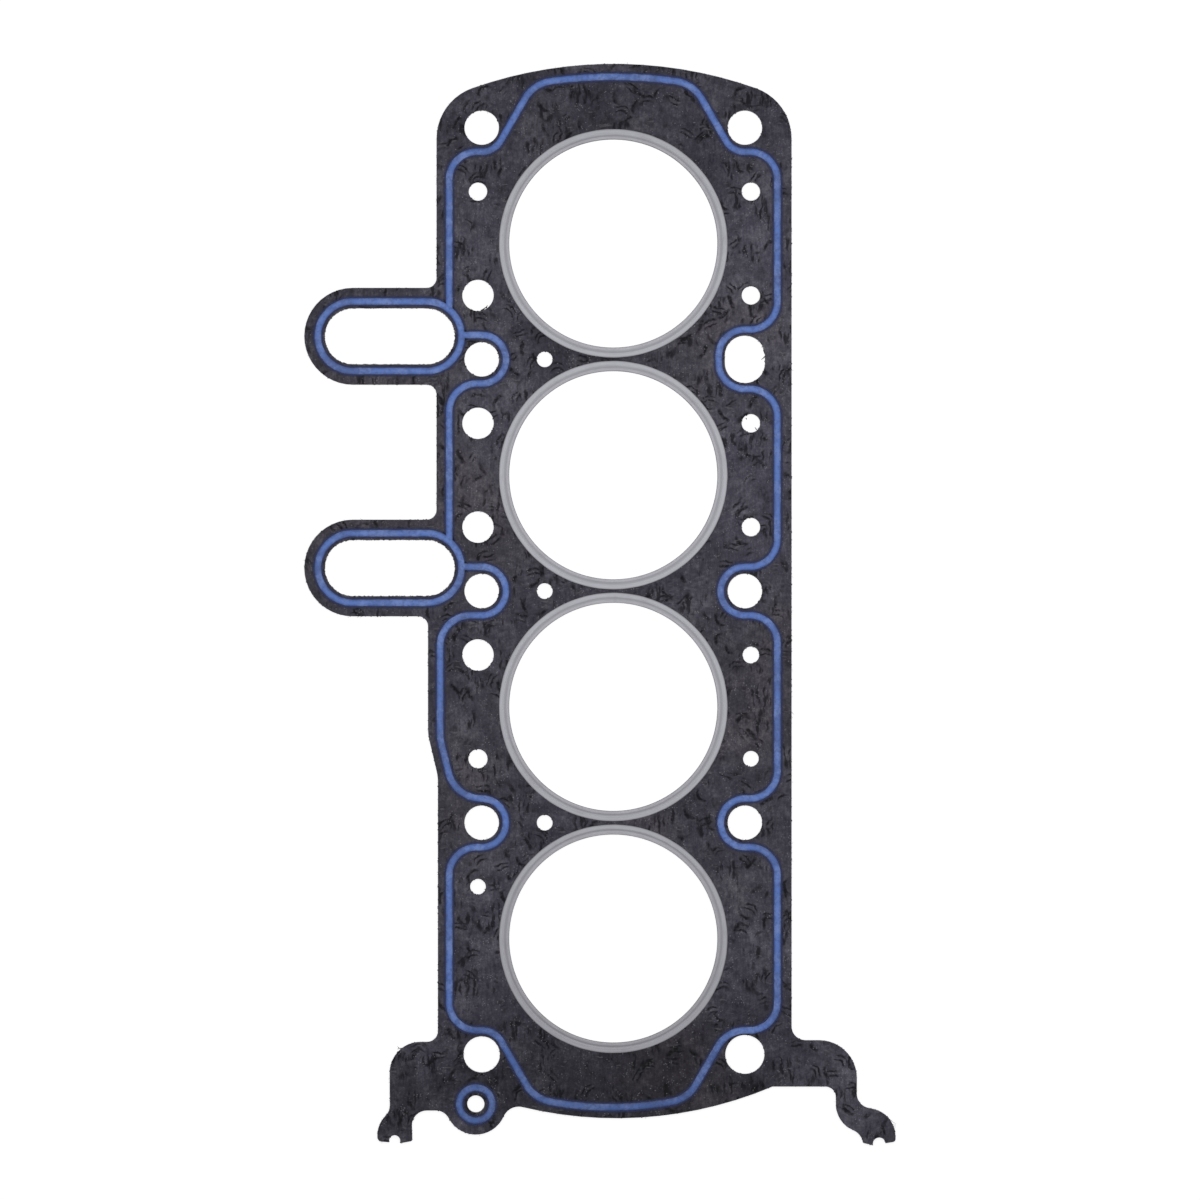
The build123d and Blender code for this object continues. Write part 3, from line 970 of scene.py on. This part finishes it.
def clearBeside(line, rim, most):
    # how far a line could widen to each side before it meets a punched edge, up to the most asked for:
    # at every other point, the nearest edge point that lies about straight across, the least of five
    squareOn = 0.6
    sparse = line[::2]
    toRim = rim[None] - sparse[:, None, :2]
    distance = np.linalg.norm(toRim, axis=2)
    across = -toRim[..., 0] * np.sin(sparse[:, 2:]) + toRim[..., 1] * np.cos(sparse[:, 2:])
    clear = []
    for side in (-1, 1):
        nearest = np.where(side * across > squareOn * distance, distance, most).min(1)
        nearest = np.min([np.roll(nearest, k) for k in (-2, -1, 0, 1, 2)], axis=0)
        clear.append(np.interp(np.arange(len(line)), np.arange(len(sparse)) * 2, nearest))
    return clear


def beadGrid(line, closed, halfWidth, look, side, seed, rim):
    # the crown carried along the line: height falls from the middle as (1 - across^inner)^outer, and
    # beyond the crown's foot a stain as thin as paint reaches on, but not over a punched edge
    if closed:
        line = line[:-1]
    stepTo = np.linalg.norm(np.diff(line[:, :2], axis=0), axis=1)
    distance = np.append(0, np.cumsum(stepTo))
    length = distance[-1] + (np.linalg.norm(line[0, :2] - line[-1, :2]) if closed else 0)
    crownAcross = np.sin(np.linspace(-np.pi / 2, np.pi / 2, look["crownPoints"]))
    skirt = np.array(look["skirt"])
    across = np.concatenate([-skirt[::-1], crownAcross, skirt])[None, :]
    left = across < 0
    inner, outer = look["powers"]
    lift = np.clip(1 - np.abs(across) ** inner, 0, 1) ** outer
    clear = clearBeside(line, rim, halfWidth + look["halo"] + look["rimClear"])
    ragged = [waves(distance, length, *look["ragged"], seed + k)[:, None] for k in (1, 2)]
    fringe = [waves(distance, length, *look["fringe"], seed + k)[:, None] for k in (3, 4)]
    swell = 1 + waves(distance, length, *look["swell"], seed + 5)[:, None]
    uneven = np.where(left, *ragged)
    room = np.where(left, clear[0][:, None], clear[1][:, None])
    room = room - halfWidth - uneven - look["rimClear"]
    spread = np.minimum(look["halo"] + np.where(left, *fringe), room)
    spread = np.clip(spread, look["leastStain"], None)
    reach = np.minimum(np.abs(across), 1) * (halfWidth + uneven)
    reach = reach + np.clip(np.abs(across) - 1, 0, 1) * spread
    place = np.sign(across) * reach
    crownHeight = look["height"] - look["stainHeight"]
    height = np.minimum(look["stainHeight"] + crownHeight * lift * swell, look["most"])
    # two more points close the section under the facing's face
    place = np.hstack([place, place[:, -1:], place[:, :1]])
    height = np.hstack([height, np.full((len(line), 2), look["foot"])])
    x = line[:, 0:1] - place * np.sin(line[:, 2:])
    y = line[:, 1:2] + place * np.cos(line[:, 2:])
    z = side * (look["face"] + height)
    v = np.concatenate([across[0], [2.0, -2.0, -2.0]])
    u = np.append(distance, length) * look["mapScale"]
    return grid(np.stack([x, y, z], -1), closed, u, v)


def beadMaterial(look):
    # v runs from -2 to 2 across the line, and the crown's foot is at -1 and 1
    made, start = newMaterial("printedBlue")
    uv = start.node("ShaderNodeUVMap", {"uv_map": "surfaceUv"})
    place = start.node("ShaderNodeTexCoord", output="Object")
    across = abs(uv.part(1))
    mottle = start.noise(place, *look["mottle"])
    grain = start.noise(place, *look["grain"])
    wander = across + (mottle - 0.5) * look["edgeWander"]
    # painted highlight along the crown's top and painted shade towards its foot
    colour = start.mixed(1 - wander.above(*look["paintedHighlightTone"]), look["blue"], look["crown"])
    colour = start.mixed(wander.above(*look["paintedSideShadeTone"]), colour, look["edge"])
    thinned = start.mask(place, *look["thinned"]) * look["thinnedShare"]
    colour = start.mixed(thinned, colour, look["edge"])
    worn = mottle.above(*look["wornTone"]) * look["wornShare"]
    colour = start.mixed(worn, colour, look["worn"])
    pitted = grain.above(*look["grainTone"]) * look["grainShare"]
    colour = start.mixed(pitted, colour, look["edge"])
    # painted shade and uneven tone: the bead darker towards the bottom
    colour = withToneAndPaintedFalloff(start, place, mottle, colour, look["toneAndPaintedFalloff"])
    soaked = across.above(*look["soakedFrom"])
    colour = start.mixed(soaked, colour, look["stain"])
    fade = 1 - (across + (mottle - 0.5) * look["fadeWander"]).above(*look["fade"])
    sockets = {
        "Base Color": colour,
        "Roughness": look["roughness"] + grain * 0.14 + soaked * 0.22,
        "Alpha": start.math("MAXIMUM", 1 - soaked, fade * look["stainShare"]),
        "Specular IOR Level": look["gloss"],
    }
    height = 0.5 * mottle + 0.5 * grain
    finished(start, sockets, height, look["bumpDepth"], look["bumpStrength"])
    return made


printed = beadMaterial(beadLook)
rimSpacing = beadLook["rimSpacing"]
rimPlaces = np.arange(rimSpacing / 2, edgeLengths(edges).sum() - rimSpacing / 2, rimSpacing)
rim = alongEdges(edges, rimPlaces)[0]
sealLines = [(walk(*route, beadLook["spacing"]), False) for route in sealRoutes(beadSizes)]
for row in (beadSizes["pitch"] + beadSizes["slotLead"], beadSizes["slotLead"]):
    sealLines.append((walk(*slotLoop(beadSizes, row), beadLook["spacing"]), True))
oilX, oilY = beadSizes["oilSpot"]
oilMoves = [(beadSizes["oilRadius"], 360)]
oilLine = walk((oilX, oilY - beadSizes["oilRadius"]), 0, oilMoves, beadLook["spacing"] / 2)

for faceName, side in (("front", 1), ("back", -1)):
    strips = []
    for number, (line, closed) in enumerate(sealLines):
        seed = 20 + 10 * number + 5 * side
        strips.append(beadGrid(line, closed, beadLook["halfWidth"], beadLook, side, seed, rim))
    sealBead = placed(f"{faceName}SealBead", meshOf(f"{faceName}SealBead", strips))
    oilGrid = beadGrid(oilLine, True, beadLook["oilHalfWidth"], beadLook, side, 90 + side, rim)
    oilBead = placed(f"{faceName}OilBead", meshOf(f"{faceName}OilBead", [oilGrid]))
    for piece, node in ((sealBead, "seal_bead"), (oilBead, "oil_bead")):
        piece.data.materials.append(printed)
        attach(piece, "root")
        if side > 0:
            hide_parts(node)
print("beads done")


# stage, light and camera

stageLook = {
    "floorSize": 6.0,
    "floorDrop": 0.00002,
    "floorTone": 0.8,
    "seenGlow": 0.8,
    "seenTone": 0.32,
    "cameraAt": (-0.0043, -0.0029, 1.2),
    "pictureWidth": 0.3885,
    "lampPower": 1.16,
    "lampSize": (0.5, 0.4),
    "lampAt": (0.02, 0.06, 0.45),
    "worldLow": 0.42,
    "worldHigh": 0.5,
}


def grey(tone):
    return (tone, tone, tone, 1)


def buildStage(look):
    # the floor: plain where it lights the part, and partly glowing where the camera or a reflection
    # sees it, so that it looks white and still holds the part's shadow
    floorMesh = bpy.data.meshes.new("floor")
    half = look["floorSize"] / 2
    z = cadBox[0].z - look["floorDrop"]
    corners = [(-half, -half, z), (half, -half, z), (half, half, z), (-half, half, z)]
    floorMesh.from_pydata(corners, [], [(0, 1, 2, 3)])
    floor = placed("floor", floorMesh)
    made, start = newMaterial("paleFloor")
    ray = start.node("ShaderNodeLightPath")
    seen = start.math("MAXIMUM", ray.other("Is Camera Ray"), ray.other("Is Glossy Ray"))
    seen = start.math("MAXIMUM", seen, ray.other("Is Transmission Ray"))
    plain = start.node("ShaderNodeBsdfDiffuse", None, {"Color": grey(look["floorTone"])})
    glow = start.node("ShaderNodeEmission", None, {"Color": grey(1), "Strength": look["seenGlow"]})
    soft = start.node("ShaderNodeBsdfDiffuse", None, {"Color": grey(look["seenTone"])})
    shown = start.node("ShaderNodeAddShader", None, {0: glow, 1: soft})
    surface = start.node("ShaderNodeMixShader", None, {0: seen, 1: plain, 2: shown})
    start.node("ShaderNodeOutputMaterial", None, {"Surface": surface})
    floorMesh.materials.append(made)

    # the world: even and white, a little brighter overhead
    world = bpy.data.worlds.new("studio")
    world.use_nodes = True
    world.node_tree.nodes.clear()
    sky = Socket(world.node_tree)
    upward = sky.node("ShaderNodeTexCoord", output="Generated").part(2)
    strength = look["worldLow"] + (look["worldHigh"] - look["worldLow"]) * upward.above(0, 1)
    light = sky.node("ShaderNodeBackground", None, {"Color": grey(1), "Strength": strength})
    sky.node("ShaderNodeOutputWorld", None, {"Surface": light})
    bpy.context.scene.world = world

    # one softbox over the part, which the camera itself doesn't see
    lampData = bpy.data.lights.new("softbox", "AREA")
    lampData.shape = "RECTANGLE"
    lampData.size, lampData.size_y = look["lampSize"]
    lampData.energy = look["lampPower"]
    lamp = placed("softbox", lampData)
    lamp.location = look["lampAt"]
    lamp.visible_camera = False

    # the camera looks straight down and takes in the picture's width at the height of the part
    cameraData = bpy.data.cameras.new("camera")
    camera = placed("camera", cameraData)
    camera.location = look["cameraAt"]
    cameraData.lens = cameraData.sensor_width * look["cameraAt"][2] / look["pictureWidth"]
    bpy.context.scene.camera = camera


buildStage(stageLook)
bpy.context.scene.view_settings.view_transform = "Standard"
print("stage done")
